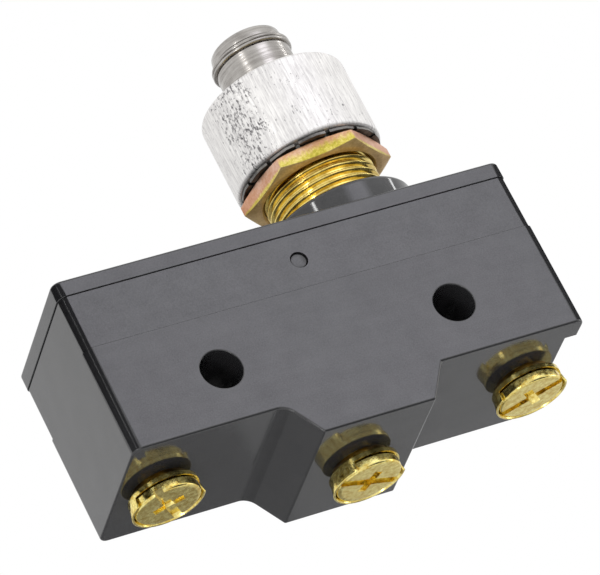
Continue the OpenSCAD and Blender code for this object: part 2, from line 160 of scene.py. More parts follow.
def lathe(name, outline, at=None, segments=128, thread=None):
    """Turns (radius, height) pairs about an upright axis. The last pair joins the first, or the thread
    closes the gap between them."""
    at = AXIS if at is None else at
    points, faces, rings = [], [], []
    for r, z in outline:
        if r < ON_AXIS:
            rings.append([len(points)] * segments)
            points.append((at[0], at[1], z))
        else:
            rings.append(list(range(len(points), len(points) + segments)))
            points += ring(r, z, at, segments)
    pairs = list(zip(rings, rings[1:]))
    if thread is None:
        pairs.append((rings[-1], rings[0]))
    for a, b in pairs:
        for k in range(segments):
            n = (k + 1) % segments
            face = []
            for i in (a[k], a[n], b[n], b[k]):
                if i not in face:
                    face.append(i)
            if len(face) > 2:
                faces.append(face)
    if thread:
        helix_skin(points, faces, at, *thread, segments)
    return mesh_from(name, points, faces, merge=SAME_POINT)


def rod(name, r, z0, z1, at=(0, 0), segments=40):
    """A plain round bar, which cuts a bore."""
    return lathe(name, [(0, z0), (r, z0), (r, z1), (0, z1)], at, segments)


def arc(cx, cz, r, a0, a1, steps=5):
    """Points of an arc in the outline plane, angles in degrees."""
    turns = [math.radians(a0 + (a1 - a0) * k / steps) for k in range(steps + 1)]
    return [(cx + r * math.cos(a), cz + r * math.sin(a)) for a in turns]


def prism(name, outline, y0, y1):
    """A slab with an outline of (x, z) pairs between two depths."""
    n = len(outline)
    points = [(x, y0, z) for x, z in outline] + [(x, y1, z) for x, z in outline]
    faces = [list(range(n)), list(range(2 * n - 1, n - 1, -1))]
    faces += [[k, (k + 1) % n, n + (k + 1) % n, n + k] for k in range(n)]
    return mesh_from(name, points, faces)


def block(name, lo, hi):
    """A box given by its lowest and highest corners."""
    return prism(name, [(lo[0], lo[2]), (hi[0], lo[2]), (hi[0], hi[2]), (lo[0], hi[2])], lo[1], hi[1])


def stack(name, levels, half_l, half_d, corner, steps=9):
    """A post with rounded corners, from (height, inset) levels."""
    points, faces = [], []
    for z, inset in levels:
        r = corner - inset
        for quarter, (sx, sy) in enumerate(((1, 1), (-1, 1), (-1, -1), (1, -1))):
            x, y = sx * (half_l - corner), sy * (half_d - corner)
            for k in range(steps + 1):
                a = math.radians(90 * (quarter + k / steps))
                points.append((x + r * math.cos(a), y + r * math.sin(a), z))
    n = 4 * (steps + 1)
    for j in range(0, n * (len(levels) - 1), n):
        faces += [[j + k, j + (k + 1) % n, j + n + (k + 1) % n, j + n + k] for k in range(n)]
    faces += [list(range(n)), list(range(len(points) - n, len(points)))]
    return mesh_from(name, points, faces)


def across(obj, x, z, flip=False):
    """Lays an upright piece along Y, at that x and z."""
    turn = Matrix.Rotation(math.radians(90 if flip else -90), 4, "X")
    obj.data.transform(Matrix.Translation((x * MM, 0, z * MM)) @ turn)
    return obj


def settle(obj):
    """Applies every modifier, so that the piece is its final mesh."""
    graph = bpy.context.evaluated_depsgraph_get()
    mesh = bpy.data.meshes.new_from_object(obj.evaluated_get(graph))
    obj.modifiers.clear()
    obj.data = mesh
    return obj


def cut(obj, tools, operation="DIFFERENCE"):
    """Cuts the tools out of obj, joins them to it or keeps what is shared, and removes them."""
    for tool in tools:
        step = obj.modifiers.new("cut", "BOOLEAN")
        step.operation = operation
        step.solver = "EXACT"
        step.object = tool
    settle(obj)
    for tool in tools:
        bpy.data.objects.remove(tool)
    return obj


def merge(obj, others):
    """One piece from several separate shells."""
    bm = bmesh.new()
    for part in [obj] + others:
        bm.from_mesh(part.data)
    bm.to_mesh(obj.data)
    bm.free()
    for part in others:
        bpy.data.objects.remove(part)
    return obj


def bevel_edges(obj, width_of, segments=3):
    """Rounds each edge by width_of(edge) millimetres. An edge with no width stays sharp."""
    mesh, layer = obj.data, "bevel_weight_edge"
    weights = mesh.attributes.get(layer) or mesh.attributes.new(layer, "FLOAT", "EDGE")
    bm = bmesh.new()
    bm.from_mesh(mesh)
    bm.edges.ensure_lookup_table()
    widths = [width_of(edge) if len(edge.link_faces) == 2 else 0.0 for edge in bm.edges]
    bm.free()
    widest = max(widths)
    weights.data.foreach_set("value", [w / widest for w in widths])
    step = obj.modifiers.new("round", "BEVEL")
    step.limit_method = "WEIGHT"
    step.width = widest * MM
    step.segments = segments
    step.use_clamp_overlap = False
    return settle(obj)


def soften(obj, angle=35):
    """Smooth shading, with edges sharper than angle kept crisp and flat faces kept flat."""
    obj.data.polygons.foreach_set("use_smooth", [True] * len(obj.data.polygons))
    obj.data.set_sharp_from_angle(angle=math.radians(angle))
    step = obj.modifiers.new("flat faces", "WEIGHTED_NORMAL")
    step.keep_sharp = True
    step.weight = 80
    return obj


def round_cad(node, width):
    """Rounds a CAD node's edges with modifiers only."""
    obj = NODES[node]
    weld = obj.modifiers.new("weld", "WELD")
    weld.merge_threshold = 1e-7
    flat = obj.modifiers.new("flat", "DECIMATE")
    flat.decimate_type = "DISSOLVE"
    flat.angle_limit = math.radians(0.2)
    step = obj.modifiers.new("round", "BEVEL")
    step.limit_method = "ANGLE"
    step.angle_limit = math.radians(30)
    step.width = width * MM
    step.segments = 2
    step.harden_normals = False
    obj.data.polygons.foreach_set("use_smooth", [True] * len(obj.data.polygons))
    return obj


# ---------------------------------------------------------------- material helpers

class Nodes:
    """Adds and links the nodes of one material. Places are in millimetres."""

    def __init__(self, name):
        self.material = bpy.data.materials.new(name)
        self.material.use_nodes = True
        self.tree = self.material.node_tree
        self.shader = self.tree.nodes["Principled BSDF"]
        self.place = self.stretch(1 / MM, 1 / MM, 1 / MM, self.add("ShaderNodeTexCoord").outputs["Object"])

    def add(self, kind, **settings):
        node = self.tree.nodes.new(kind)
        for key, value in settings.items():
            setattr(node, key, value)
        return node

    def link(self, source, target):
        self.tree.links.new(source, target)

    def math(self, operation, a, b=None):
        node = self.add("ShaderNodeMath", operation=operation)
        for socket, value in zip(node.inputs, (a, b)):
            if isinstance(value, (int, float)):
                socket.default_value = value
            elif value is not None:
                self.link(value, socket)
        return node.outputs[0]

    def noise(self, scale, detail=3.0, roughness=0.5, place=None):
        node = self.add("ShaderNodeTexNoise")
        node.inputs["Scale"].default_value = scale
        node.inputs["Detail"].default_value = detail
        node.inputs["Roughness"].default_value = roughness
        self.link(place or self.place, node.inputs["Vector"])
        return node.outputs["Fac"]

    def stretch(self, x, y, z, place=None):
        node = self.add("ShaderNodeVectorMath", operation="MULTIPLY")
        self.link(place or self.place, node.inputs[0])
        node.inputs[1].default_value = (x, y, z)
        return node.outputs[0]

    def split(self, place=None):
        node = self.add("ShaderNodeSeparateXYZ")
        self.link(place or self.place, node.inputs[0])
        return node.outputs

    def facing(self):
        """The three parts of the surface's own direction."""
        return self.split(self.add("ShaderNodeTexCoord").outputs["Normal"])

    def turn_angle(self):
        """Angle about the plunger's axis, in radians."""
        x, y, _ = self.split()
        return self.math("ARCTAN2", y, self.math("SUBTRACT", x, float(AXIS[0])))

    def round_place(self, radius, around, along):
        """Coordinates wrapped round the plunger's axis, scaled round it and along it."""
        angle = self.turn_angle()
        join = self.add("ShaderNodeCombineXYZ")
        self.link(self.math("MULTIPLY", self.math("COSINE", angle), radius * around), join.inputs[0])
        self.link(self.math("MULTIPLY", self.math("SINE", angle), radius * around), join.inputs[1])
        self.link(self.math("MULTIPLY", self.split()[2], along), join.inputs[2])
        return join.outputs[0]

    def ramp(self, value, stops):
        node = self.add("ShaderNodeValToRGB")
        ramp = node.color_ramp
        while len(ramp.elements) < len(stops):
            ramp.elements.new(0.5)
        for element, (place, colour) in zip(ramp.elements, stops):
            element.position = place
            element.color = (*colour, 1)
        self.link(value, node.inputs[0])
        return node.outputs[0]

    def blend(self, share, a, b):
        """Colour a where share is 0 and colour b where it is 1."""
        node = self.add("ShaderNodeMix", data_type="RGBA")
        colour_a, colour_b, colour_out = 6, 7, 2
        self.link(share, node.inputs["Factor"])
        self.link(a, node.inputs[colour_a])
        self.link(b, node.inputs[colour_b])
        return node.outputs[colour_out]

    def range(self, value, out_low, out_high, in_low=0.3, in_high=0.7):
        node = self.add("ShaderNodeMapRange")
        self.link(value, node.inputs["Value"])
        node.inputs["From Min"].default_value = in_low
        node.inputs["From Max"].default_value = in_high
        node.inputs["To Min"].default_value = out_low
        node.inputs["To Max"].default_value = out_high
        return node.outputs[0]

    def bump(self, height, strength, distance, normal=None):
        node = self.add("ShaderNodeBump")
        node.inputs["Strength"].default_value = strength
        node.inputs["Distance"].default_value = distance * MM
        self.link(height, node.inputs["Height"])
        if normal is not None:
            self.link(normal, node.inputs["Normal"])
        return node.outputs[0]

    def finish(self, colour=None, rough=None, normal=None, **values):
        for socket, source in (("Base Color", colour), ("Roughness", rough), ("Normal", normal)):
            if source is not None:
                self.link(source, self.shader.inputs[socket])
        for name, value in values.items():
            self.shader.inputs[name.replace("_", " ")].default_value = value
        return self.material


def phenolic(name, dark, light, rough_low, rough_high, ior=1.6):
    """Black moulding: a fine speckled skin, faint clouds and flow streaks along the case."""
    n = Nodes(name)
    fine = n.noise(7, 3, 0.7)
    cloud = n.noise(0.35, 3, 0.6)
    flow = n.noise(1, 3, 0.5, n.stretch(0.12, 1.2, 1.6))
    mixed = n.math("ADD", n.math("MULTIPLY", fine, 0.65),
                   n.math("ADD", n.math("MULTIPLY", cloud, 0.25), n.math("MULTIPLY", flow, 0.1)))
    colour = n.ramp(mixed, [(0.36, dark), (0.64, light)])
    rough = n.range(mixed, rough_low, rough_high, 0.38, 0.62)
    peel = n.bump(n.noise(1.1, 2), 0.06, 0.01)
    grain = n.bump(fine, 0.10, 0.006, peel)
    n.link(n.range(mixed, 0.41, 0.59, 0.36, 0.64), n.shader.inputs["Specular IOR Level"])
    return n.finish(colour, rough, grain, IOR=ior)


def metal(name, dark, light, rough_low, rough_high, drift_scale=0.6, bump=0.05):
    """Bright metal with slow colour drift, uneven polish and fine tool marks."""
    n = Nodes(name)
    drift = n.noise(drift_scale, 3, 0.55)
    fine = n.noise(4.2, 3, 0.6)
    mixed = n.math("ADD", n.math("MULTIPLY", drift, 0.65), n.math("MULTIPLY", fine, 0.35))
    colour = n.ramp(mixed, [(0.36, dark), (0.64, light)])
    rough = n.range(mixed, rough_low, rough_high, 0.38, 0.62)
    normal = n.bump(fine, bump, 0.03)
    return n.finish(colour, rough, normal, Metallic=1.0)


def turned(name, dark, light, rough_low, rough_high, radius, around, along, bump=0.12):
    """Metal turned or drawn about the plunger's axis: marks finer one way than the other."""
    n = Nodes(name)
    marks = n.noise(1, 4, 0.65, n.round_place(radius, around, along))
    cloud = n.noise(0.5, 3, 0.6)
    mixed = n.math("ADD", n.math("MULTIPLY", marks, 0.6), n.math("MULTIPLY", cloud, 0.4))
    colour = n.ramp(mixed, [(0.36, dark), (0.62, light)])
    rough = n.range(mixed, rough_high, rough_low, 0.38, 0.62)
    normal = n.bump(marks, bump, 0.03)
    return n.finish(colour, rough, normal, Metallic=1.0)


PITTED_SIDE = math.radians(147)     # turns the collar's crowd of pits towards its front left
LEAD_FACE = math.radians(104.3)     # turns the nut's yellow face towards the front
HALF_FACE = math.radians(30.4)      # half the angle that one of the nut's faces takes up


def speckled_aluminium():
    """Bright aluminium bar: axial drag lines, and small dark pits that crowd together on one side."""
    n = Nodes("speckled_aluminium")
    radius = span_r("collar_nut")
    drag = n.noise(1, 4, 0.65, n.round_place(radius, 5.0, 0.5))
    pits = n.noise(1, 2, 0.7, n.round_place(radius, 3.9, 2.3))
    patch = n.noise(0.42, 3, 0.6)
    crowd = n.range(n.math("COSINE", n.math("ADD", n.turn_angle(), PITTED_SIDE)), 0.0, 0.15, 0.92, 0.995)
    edge = n.math("ADD", crowd, n.range(patch, 0.30, 0.39, 0.35, 0.65))
    depth = n.range(n.math("SUBTRACT", edge, pits), 0.0, 1.0, -0.02, 0.09)
    tone = n.math("SUBTRACT", drag, n.math("MULTIPLY", depth, 0.38))
    colour = n.ramp(tone, [(0.04, (0.16, 0.155, 0.16)), (0.30, (0.62, 0.605, 0.60)),
                           (0.5, (0.79, 0.775, 0.76)), (0.68, (0.92, 0.905, 0.885))])
    rough = n.range(tone, 0.68, 0.5, 0.1, 0.6)
    normal = n.bump(tone, 0.35, 0.06)
    return n.finish(colour, rough, normal, Metallic=1.0)


def yellow_zinc():
    """Chromated zinc on the hex nut: faces that run from yellow green to pink."""
    n = Nodes("yellow_zinc")
    drift = n.noise(0.25, 3, 0.6)
    fine = n.noise(3.8, 3, 0.65)
    streak = n.noise(1, 3, 0.6, n.stretch(5, 5, 0.6))
    rise = n.range(n.split()[2], 0.0, 1.0, low("hex_nut").z, high("hex_nut").z)
    lead = n.math("COSINE", n.math("ADD", n.turn_angle(), LEAD_FACE))
    wander = n.math("MULTIPLY", n.math("SUBTRACT", streak, 0.5), 0.9)
    green = n.math("MULTIPLY", n.math("GREATER_THAN", lead, math.cos(HALF_FACE)),
                   n.range(n.math("ADD", rise, wander), 1.0, 0.1, 0.35, 0.72))
    strip = n.range(n.math("ADD", rise, n.math("MULTIPLY", wander, 0.25)), 0.9, 0.0, 0.17, 0.3)
    green = n.math("MAXIMUM", green, strip)
    mixed = n.math("ADD", n.math("MULTIPLY", drift, 0.6), n.math("MULTIPLY", fine, 0.4))
    yellow = n.ramp(mixed, [(0.38, (0.34, 0.29, 0.03)), (0.5, (0.58, 0.49, 0.08)),
                            (0.62, (0.84, 0.72, 0.24))])
    pink = n.ramp(mixed, [(0.38, (0.46, 0.22, 0.12)), (0.5, (0.60, 0.32, 0.20)),
                          (0.64, (0.74, 0.50, 0.38))])
    # Faces that look down are painted brown olive, with less metal so that they take more light from below:
    # a painted reflection on the nut's underside.
    olive = n.ramp(mixed, [(0.38, (0.52, 0.31, 0.10)), (0.64, (0.86, 0.64, 0.30))])
    under = n.range(n.facing()[2], 1.0, 0.0, -0.8, -0.15)
    rough = n.range(fine, 0.34, 0.5)
    normal = n.bump(fine, 0.12, 0.03)
    n.link(n.range(under, 1.0, 0.5, 0.0, 1.0), n.shader.inputs["Metallic"])
    return n.finish(n.blend(under, n.blend(green, pink, yellow), olive), rough, normal)


MOULDED = phenolic("black_phenolic", (0.024, 0.024, 0.0255), (0.034, 0.034, 0.036), 0.07, 0.13)
BRASS = metal("bright_brass", (0.54, 0.37, 0.08), (0.92, 0.74, 0.24), 0.10, 0.24, 0.7, 0.16)
SCREW_BRASS = metal("plated_brass", (0.64, 0.43, 0.07), (1.0, 0.90, 0.36), 0.1, 0.26, 2.2, 0.35)
# The terminals' brass is painted dark: painted shade in the gap between each terminal's face and its cup
# washer.
SHADED_TERMINAL_BRASS = metal("dull_brass", (0.10, 0.065, 0.02), (0.24, 0.16, 0.05), 0.3, 0.5)
STEEL = turned("turned_steel", (0.28, 0.262, 0.245), (0.50, 0.48, 0.455), 0.16, 0.34,
               span_r("plunger_cap"), 0.3, 5, 0.06)
DARK_STEEL = metal("dark_spring_steel", (0.07, 0.068, 0.065), (0.26, 0.25, 0.235), 0.28, 0.45)
SPRING_STEEL = metal("spring_wire", (0.30, 0.30, 0.31), (0.56, 0.56, 0.56), 0.2, 0.35)
BRONZE = metal("spring_bronze", (0.62, 0.36, 0.16), (0.85, 0.56, 0.30), 0.2, 0.34)
SILVER = metal("silver_alloy", (0.72, 0.70, 0.66), (0.92, 0.90, 0.86), 0.15, 0.3)
ALUMINIUM = speckled_aluminium()
ZINC = yellow_zinc()

FINISHES = {"phenolic": MOULDED, "brass": BRASS, "screw_brass": SCREW_BRASS, "gold_zinc": ZINC,
            "steel": STEEL, "dark_steel": DARK_STEEL, "aluminium": ALUMINIUM, "silver": SILVER,
            "spring_bronze": BRONZE, "spring_steel": SPRING_STEEL}
SLOT_OF = {part["node"]: part["material_slot"] for part in RECORD["subparts"]}
BODY_OF = {node: body for body, nodes in RECORD["behaviour"]["bodies"].items() for node in nodes}
REBUILT = []


def paint(obj, material):
    obj.data.materials.clear()
    obj.data.materials.append(material)
    return obj


def stand_for(node, obj, angle=35):
    """The finished piece takes the CAD node's place, its body and its finish."""
    soften(obj, angle)
    paint(obj, FINISHES[SLOT_OF[node]])
    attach(obj, BODY_OF[node])
    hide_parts(node)
    REBUILT.append(node)
    return obj


# ---------------------------------------------------------------- case and cover

CORNER = 1.0                                  # rounding of the upright corners
STEP_Z, STEP_IN = 6.0, 0.12                   # a fine step round the case
PIN_Z, PIN_R = 9.1, 0.85
CAVITY_X, CAVITY_Y, CAVITY_Z = 22.2, 6.425, 3.6
WELL_X, WELL_Z = 8.9, -2.0
INSERT_R = 2.92
MID_HALF, MID_ROOT, FOOT_R = 6.05, 8.5, 1.9
PAST = 1                                      # cutters run this far past the faces they cut
LIP = 0.05                                    # tiny bevel beside a parting line


def edge_facts(edge):
    """Middle of an edge in millimetres, the angle between its faces and its two face normals."""
    a, b = edge.link_faces
    middle = (edge.verts[0].co + edge.verts[1].co) / (2 * MM)
    return middle, math.degrees(edge.calc_face_angle(0)), a.normal, b.normal


def case_outline():
    """Front outline of the case, with a fillet at the middle block's left foot."""
    ends, top = HALF_L + PAST, SEAM + PAST
    slope = math.degrees(math.atan2(END_FACE - MIDDLE_FACE, MID_ROOT - MID_HALF))
    foot_x = -MID_ROOT - FOOT_R * math.tan(math.radians(slope / 2))
    fillet = arc(foot_x, END_FACE - FOOT_R, FOOT_R, 90, 90 - slope, 10)
    middle = [(-MID_HALF, MIDDLE_FACE), (MID_HALF, MIDDLE_FACE), (MID_ROOT, END_FACE)]
    return [(-ends, top), (-ends, END_FACE)] + fillet + middle + [(ends, END_FACE), (ends, top)]


def case_cutters():
    """The cavity, the well, the end notch, the terminals' pockets and the round holes."""
    overlap, entry, pin_gap = 0.5, 0.13, 0.06
    notch_l, notch_half, notch_h = 1.3, 5.7, 3.5
    reach, rim = HALF_D + PAST, HOLE_R + entry
    tools = [block("cavity", (-CAVITY_X, -CAVITY_Y, CAVITY_Z), (CAVITY_X, CAVITY_Y, SEAM + PAST)),
             block("well", (-WELL_X, -CAVITY_Y, WELL_Z), (WELL_X, CAVITY_Y, CAVITY_Z + overlap)),
             block("notch", (HALF_L - notch_l, -notch_half, END_FACE - PAST),
                   (HALF_L + PAST, notch_half, END_FACE + notch_h))]
    for name, floor_z in (("common", CAVITY_Z), ("closed", WELL_Z), ("open", CAVITY_Z)):
        low_z, at = high(name + "_washer").z + WASHER_GAP - PAST, (TERMINAL_X[name], 0)
        tools.append(rod(name + "_pocket", INSERT_R, low_z, floor_z + overlap, at, 48))
    bore = ([(0, -reach), (rim, -reach)] + arc(rim, -HALF_D + entry, entry, 270, 180)
            + arc(rim, HALF_D - entry, entry, 180, 90) + [(rim, reach), (0, reach)])
    tools += [across(lathe("bore", bore, (0, 0), 72), side * HOLE_X, 0) for side in (-1, 1)]
    tools.append(across(rod("pin_bore", PIN_R + pin_gap, -reach, reach), 0, PIN_Z))
    return tools


def case_edge(edge):
    """Rounding of an edge of the case: only the outer edges that face down are rounded."""
    outer_round, inner_round, barely_bent, near = 0.22, 0.16, 20, 0.2
    at, bend, n1, n2 = edge_facts(edge)
    down = min(n1.z, n2.z) < -0.3
    if not down or bend < barely_bent or at.z > END_FACE + 0.01:
        return 0.0
    pocket_x = min(abs(at.x - x) for x in TERMINAL_X.values())
    if abs(at.y) < INSERT_R + near and pocket_x < INSERT_R + near:
        return 0.0
    on_rim = abs(at.y) > HALF_D - CORNER or abs(at.x) > HALF_L - CORNER - 0.4
    return outer_round if on_rim else inner_round


def case_shell():
    """The case: its outline cut from a rounded post, then hollowed, with its lower edges rounded."""
    shell = prism("case_shell", case_outline(), -HALF_D - PAST, HALF_D + PAST)
    levels = [(MIDDLE_FACE - PAST, 0), (STEP_Z - LIP, 0), (STEP_Z, LIP), (STEP_Z, STEP_IN),
              (SEAM - LIP, STEP_IN), (SEAM, STEP_IN + LIP)]
    cut(shell, [stack("case_post", levels, HALF_L, HALF_D, CORNER)], "INTERSECT")
    cut(shell, case_cutters())
    bevel_edges(shell, case_edge)
    return stand_for("base_case", shell)


def cover_shell():
    """The cover, with its plug in the case, its two lugs for the pins and its boss for the bushing."""
    edge, plug_gap, plug_depth, pin_gap = 0.3, 0.15, 0.8, 0.03
    boss_r, round_r, blend_r, boss_foot = 8.0, 0.55, 0.25, SEAM + 0.5
    lug_x, lug_y, lug_low = 2.2, 4.3, 7.6
    bore_r, flange_room_r, flange_room_z = 5.42, 6.02, SEAM - 1.5
    plug_x, plug_y = CAVITY_X - plug_gap, CAVITY_Y - plug_gap
    levels = ([(SEAM, LIP), (SEAM + LIP, 0)]
              + [(z, CORNER - x) for x, z in arc(CORNER - edge, COVER_TOP - edge, edge, 0, 90)])
    shell = stack("cover_shell", levels, HALF_L, HALF_D, CORNER)
    boss = lathe("boss", [(0, boss_foot), (boss_r, boss_foot)]
                 + arc(boss_r + blend_r, COVER_TOP + blend_r, blend_r, 270, 180, 4)
                 + arc(boss_r - round_r, BOSS_TOP - round_r, round_r, 0, 90, 7) + [(0, BOSS_TOP)], AXIS, 96)
    plug = block("plug", (-plug_x, -plug_y, SEAM - plug_depth), (plug_x, plug_y, SEAM + 0.3))
    lugs = [block("lug", (-lug_x, min(side * lug_y, side * plug_y), lug_low),
                  (lug_x, max(side * lug_y, side * plug_y), SEAM - 0.4)) for side in (-1, 1)]
    cut(shell, [boss, plug] + lugs, "UNION")
    reach = HALF_D - 1
    bore = [(0, flange_room_z), (flange_room_r, flange_room_z), (flange_room_r, SEAM), (bore_r, SEAM),
            (bore_r, BOSS_TOP + PAST), (0, BOSS_TOP + PAST)]
    tools = [lathe("bore", bore, AXIS, 96),
             across(rod("pin_bore", PIN_R + pin_gap, -reach, reach), 0, PIN_Z)]
    return stand_for("top_cover", cut(shell, tools))


def pin_ends():
    """The two pins that lock the cover, each with a slightly domed end."""
    inner, outer, crown = 4.6, HALF_D - 0.3, 0.12
    dome = arc(PIN_R - crown, outer - crown, crown, 0, 90, 3)
    outline = [(0, inner), (PIN_R, inner), (PIN_R, outer - crown)] + dome + [(0, outer)]
    ends = [across(lathe("cover_pin", outline, (0, 0), 40), 0, PIN_Z, flip) for flip in (False, True)]
    return stand_for("cover_pins", merge(ends[0], ends[1:]))


case_shell()
cover_shell()
pin_ends()


# ---------------------------------------------------------------- bushing, nuts and plunger

def bushing():
    """The bushing's thread outside, and inside it the room for the return spring."""
    root, bore, lead, edge, gap = THREAD_R - THREAD_DEPTH, NECK_R + RUN, 0.2, 0.1, 0.02
    shoulder, room_r, room_floor, rod_bore = 24.1, 4.85, 12.4, 1.55
    shank_r, flange_r, low_end = 5.4, 6.0, 10.8
    thread_low = BOSS_TOP + 0.06
    outline = [(root, BUSHING_TOP), (bore + lead, BUSHING_TOP), (bore, BUSHING_TOP - lead), (bore, shoulder),
               (room_r, shoulder), (room_r, room_floor), (rod_bore, room_floor), (rod_bore, low_end),
               (flange_r - edge, low_end), (flange_r, low_end + edge), (flange_r, SEAM - gap),
               (shank_r, SEAM - gap), (shank_r, BOSS_TOP), (root, thread_low)]
    thread = (thread_low, BUSHING_TOP, THREAD_R, THREAD_DEPTH)
    return stand_for("threaded_bushing", lathe("bushing", outline, AXIS, 96, thread))


def hex_nut():
    """A thin nut with both faces chamfered round its corners."""
    z0, z1 = low("hex_nut").z, high("hex_nut").z
    flats, turn, edge = 14.0, -14.3, 0.3
    rim, slope, bore = flats / 2 - 0.12, 0.42, THREAD_R + RUN
    corner = flats / 2 / math.cos(math.radians(30))
    full = corner + 0.2
    sides = [math.radians(turn + 60 * k) for k in range(6)]
    outline = [(AXIS[0] + corner * math.cos(a), AXIS[1] + corner * math.sin(a)) for a in sides]
    points = [(x, y, z) for z in (z0, z1) for x, y in outline]
    faces = [list(range(6)), list(range(6, 12))]
    faces += [[k, (k + 1) % 6, 6 + (k + 1) % 6, 6 + k] for k in range(6)]
    nut = mesh_from("jam_nut", points, faces)
    lens = lathe("nut_lens", [(bore + edge, z0), (rim, z0), (full, z0 + slope), (full, z1 - slope),
                              (rim, z1), (bore + edge, z1), (bore, z1 - edge), (bore, z0 + edge)], AXIS, 120)
    cut(nut, [lens], "INTERSECT")

    def width(crease):
        at, bend, _, _ = edge_facts(crease)
        return 0.1 if bend > 14 and (at.xy - AXIS).length > bore + 0.4 else 0.0

    bevel_edges(nut, width, 2)
    return stand_for("hex_nut", nut, 30)


def lock_washer():
    """An external tooth washer. The teeth are twisted a little, within the washer's thickness.

    A column has six points: bore, root and tip, each low and high. Each tooth's share of the ring has
    four columns. The gap lies between the first and the second, and the tooth takes the rest.
    """
    z0, z1 = low("lock_washer").z, high("lock_washer").z
    bore, root, tip, teeth, turn = THREAD_R + 2 * RUN, 6.75, 7.6, 14, 10
    gap, thin = 0.14, 0.06
    steps = [0.0, gap, gap + 0.3, gap + 0.6]
    points, faces, columns = [], [], []
    for k in range(teeth):
        for i, share in enumerate(steps):
            a = math.radians(turn) + TAU * (k + share) / teeth
            tilt = 0.0 if i == 0 else (share - gap) / (1 - gap)
            tip_low, tip_high = z0 + thin * 2 * tilt, z1 - thin * 2 * (1 - tilt)
            column = []
            for r, lo, hi in ((bore, z0, z1), (root, z0, z1), (tip, tip_low, tip_high)):
                for z in (lo, hi):
                    column.append(len(points))
                    points.append((AXIS[0] + r * math.cos(a), AXIS[1] + r * math.sin(a), z))
            columns.append((i, column))
    for k, (i, a) in enumerate(columns):
        after, b = columns[(k + 1) % len(columns)]
        faces += [[a[0], b[0], b[2], a[2]], [a[1], a[3], b[3], b[1]], [a[0], a[1], b[1], b[0]]]
        if i == 0:
            faces += [[a[2], b[2], b[3], a[3]], [b[2], b[4], b[5], b[3]]]
        else:
            faces += [[a[2], b[2], b[4], a[4]], [a[3], a[5], b[5], b[3]], [a[4], b[4], b[5], a[5]]]
        if after == 0:
            faces.append([b[2], b[3], b[5], b[4]])
    return stand_for("lock_washer", mesh_from("tooth_washer", points, faces), 30)


def collar():
    """A plain round nut with rounded rims and a chamfered bore."""
    z0, z1, r, bore = low("collar_nut").z, high("collar_nut").z, span_r("collar_nut"), THREAD_R + RUN
    edge = 0.4
    outline = ([(bore + edge, z0)] + arc(r - edge, z0 + edge, edge, -90, 0, 6)
               + arc(r - edge, z1 - edge, edge, 0, 90, 6)
               + [(bore + edge, z1), (bore, z1 - edge), (bore, z0 + edge)])
    return stand_for("collar_nut", lathe("collar", outline, AXIS, 160))


def stem():
    """The plunger's tube, with a flange on which the return spring pushes and a socket for the cap."""
    z0, z1 = low("plunger_stem").z, high("plunger_stem").z
    bore, roof, flange, flange_t, edge = 2.88, 34.6, 4.75, 1.2, 0.1
    socket_r, socket_floor, mouth = 2.02, z1 - 1.6, 0.15
    outline = [(bore, z0), (flange - edge, z0), (flange, z0 + edge), (flange, z0 + flange_t - edge),
               (flange - edge, z0 + flange_t), (NECK_R, z0 + flange_t), (NECK_R, z1 - mouth),
               (NECK_R - mouth, z1), (socket_r, z1), (socket_r, socket_floor), (0, socket_floor),
               (0, roof), (bore, roof)]
    return stand_for("plunger_stem", lathe("stem", outline, AXIS, 128))


def cap():
    """The plunger's tip: a spigot, a lip of two rings, a groove and a rounded head."""
    z0, z1, lip_r = low("plunger_cap").z, high("plunger_cap").z, span_r("plunger_cap")
    spigot, edge, body, groove, tip = 2.0, 0.1, 3.93, 3.55, 3.2
    lip, lip_t, groove_h, round_r = z0 + 1.5, 0.8, 0.15, 0.56
    ring_r, low_ring, valley, high_ring = 0.19, lip + 0.19, lip + 0.38, lip + 0.58
    head = lip + lip_t + groove_h
    outline = ([(0, z0), (spigot - edge, z0), (spigot, z0 + edge), (spigot, lip), (lip_r - ring_r, lip)]
               + arc(lip_r - ring_r, low_ring, ring_r, -90, 80, 6)[1:] + [(lip_r - 0.22, valley)]
               + arc(lip_r - 0.21, high_ring, ring_r, -80, 90, 6) + [(groove, lip + lip_t), (groove, head)]
               + arc(body - edge, head + edge, edge, -90, 10, 4) + [(body - 0.05, head + 0.5)]
               + arc(tip + 0.08, z1 - 0.62, round_r, 28, 84, 7)
               + [(tip * 0.6, z1 - 0.03), (tip * 0.3, z1 - 0.005), (0, z1)])
    return stand_for("plunger_cap", lathe("cap", outline, AXIS, 128), 50)


for build in (bushing, hex_nut, lock_washer, collar, stem, cap):
    build()


# ---------------------------------------------------------------- terminal screws and cup washers

HEAD_R, HEAD_T, SHANK_R, SHANK_DEPTH = 3.45, 1.0, 1.75, 0.4
SLOT_W, SLOT_DEPTH = 0.9, 0.5
WING_L, WING_W, WING_DEPTH = 3.3, 0.95, 0.8


def taper(name, at, turn, length, width, depth, slope):
    """A cutter that narrows as it goes up into a screw's head."""
    start, side_share, a = -0.5, 0.35, math.radians(turn)
    points = []
    for z in (start, depth):
        for sx, sy in ((-1, -1), (1, -1), (1, 1), (-1, 1)):
            x, y = sx * (length / 2 - z * slope), sy * (width / 2 - z * slope * side_share)
            points.append((at[0] + x * math.cos(a) - y * math.sin(a),
                           at[1] + x * math.sin(a) + y * math.cos(a), at[2] + z))
    sides = [[k, (k + 1) % 4, 4 + (k + 1) % 4, 4 + k] for k in range(4)]
    return mesh_from(name, points, [[0, 1, 2, 3], [4, 5, 6, 7]] + sides)


